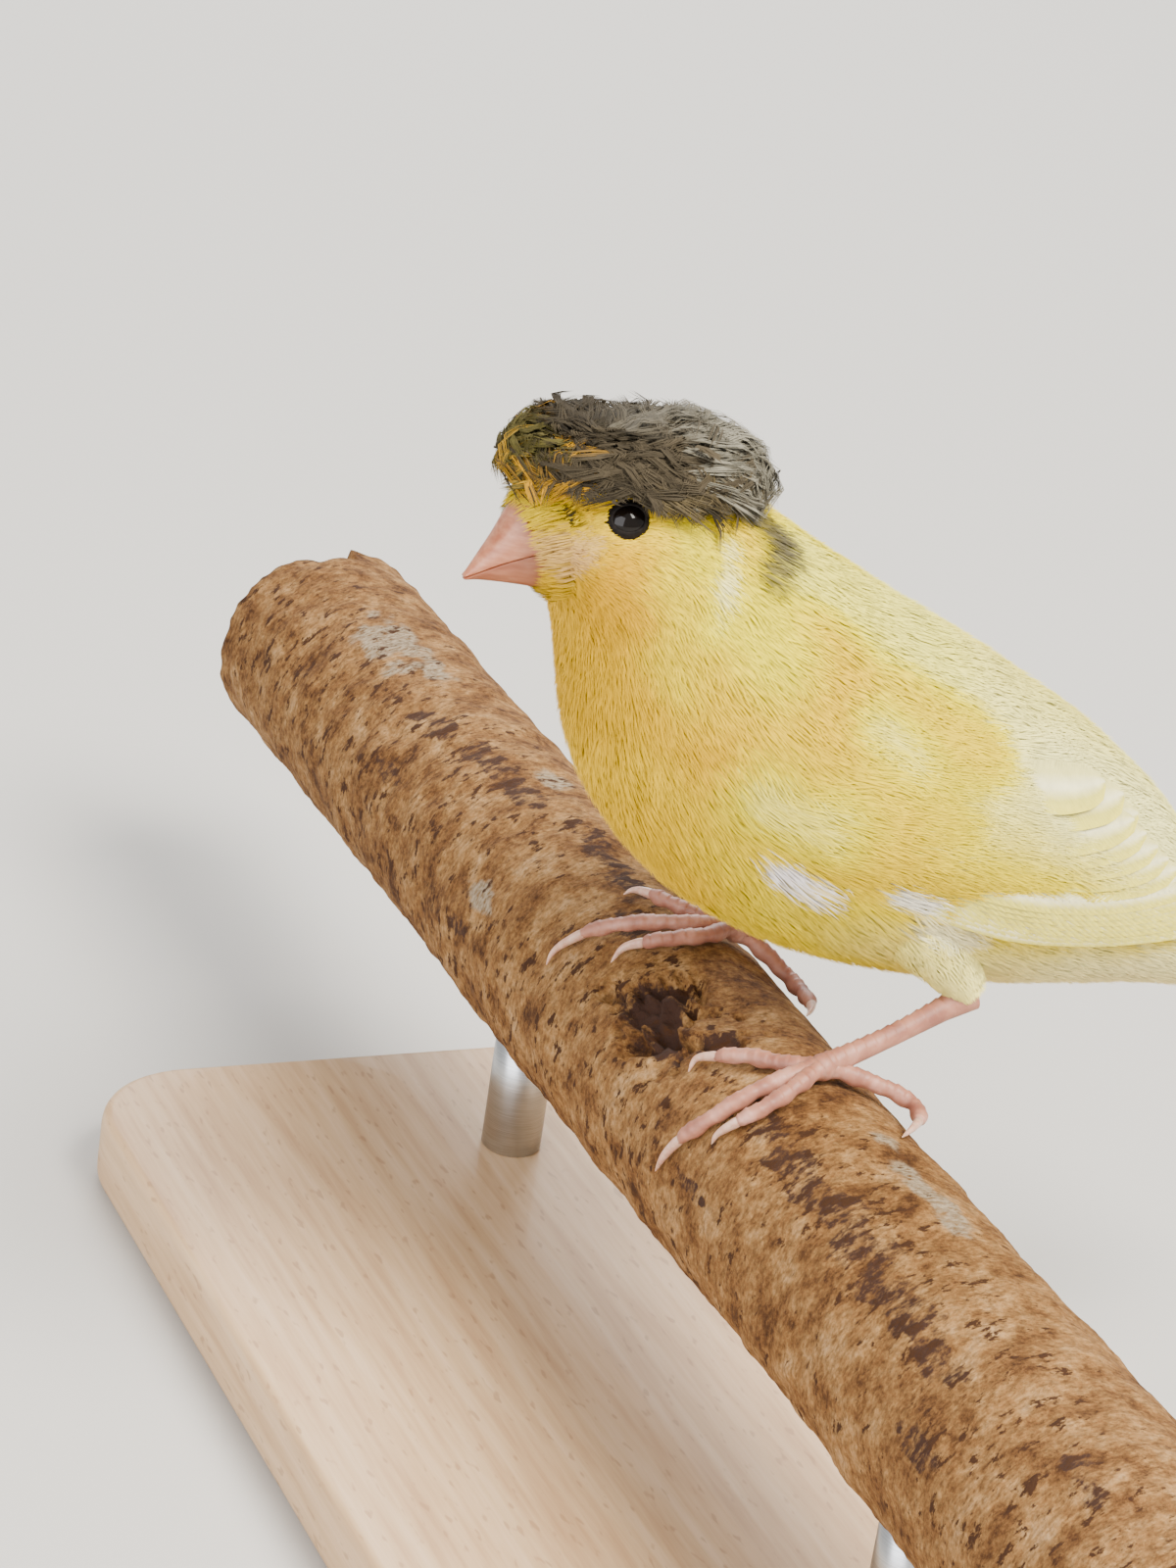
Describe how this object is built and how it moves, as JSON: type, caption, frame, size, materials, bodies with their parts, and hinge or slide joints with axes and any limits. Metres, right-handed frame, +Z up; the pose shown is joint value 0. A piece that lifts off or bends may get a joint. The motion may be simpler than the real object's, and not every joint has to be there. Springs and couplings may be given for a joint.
{
  "type": "crested canary on a display perch",
  "caption": "Life-size still model of a crested canary gripping a cut length of branch, carried by a flat wooden base on short steel rods.",
  "frame": {"origin": "centre of the display base's flat underside", "axes": "+Z up out of the base, +Y along the branch, -X the way the bird faces"},
  "size_m": [0.1147, 0.216, 0.1107],
  "materials": {
    "plumage_yellow": "matt",
    "plumage_pale": "matt",
    "plumage_crest": "matt",
    "horn_bill": "satin",
    "eye": "gloss",
    "leg_skin": "satin",
    "bark": "matt",
    "stand_wood": "satin",
    "stand_steel": "satin"
  },
  "bodies": {
    "root": {"head": "plumage_yellow", "neck": "plumage_yellow", "torso": "plumage_yellow", "crest": "plumage_crest", "wing_left": "plumage_pale", "wing_right": "plumage_pale", "tail": "plumage_pale", "thigh_left": "plumage_pale", "thigh_right": "plumage_pale", "upper_bill": "horn_bill", "lower_bill": "horn_bill", "eye_left": "eye", "eye_right": "eye", "shank_left": "leg_skin", "shank_right": "leg_skin", "foot_left": "leg_skin", "foot_right": "leg_skin", "perch": "bark", "stand_base": "stand_wood", "stand_rod_far": "stand_steel", "stand_rod_near": "stand_steel"}
  },
  "joints": []
}
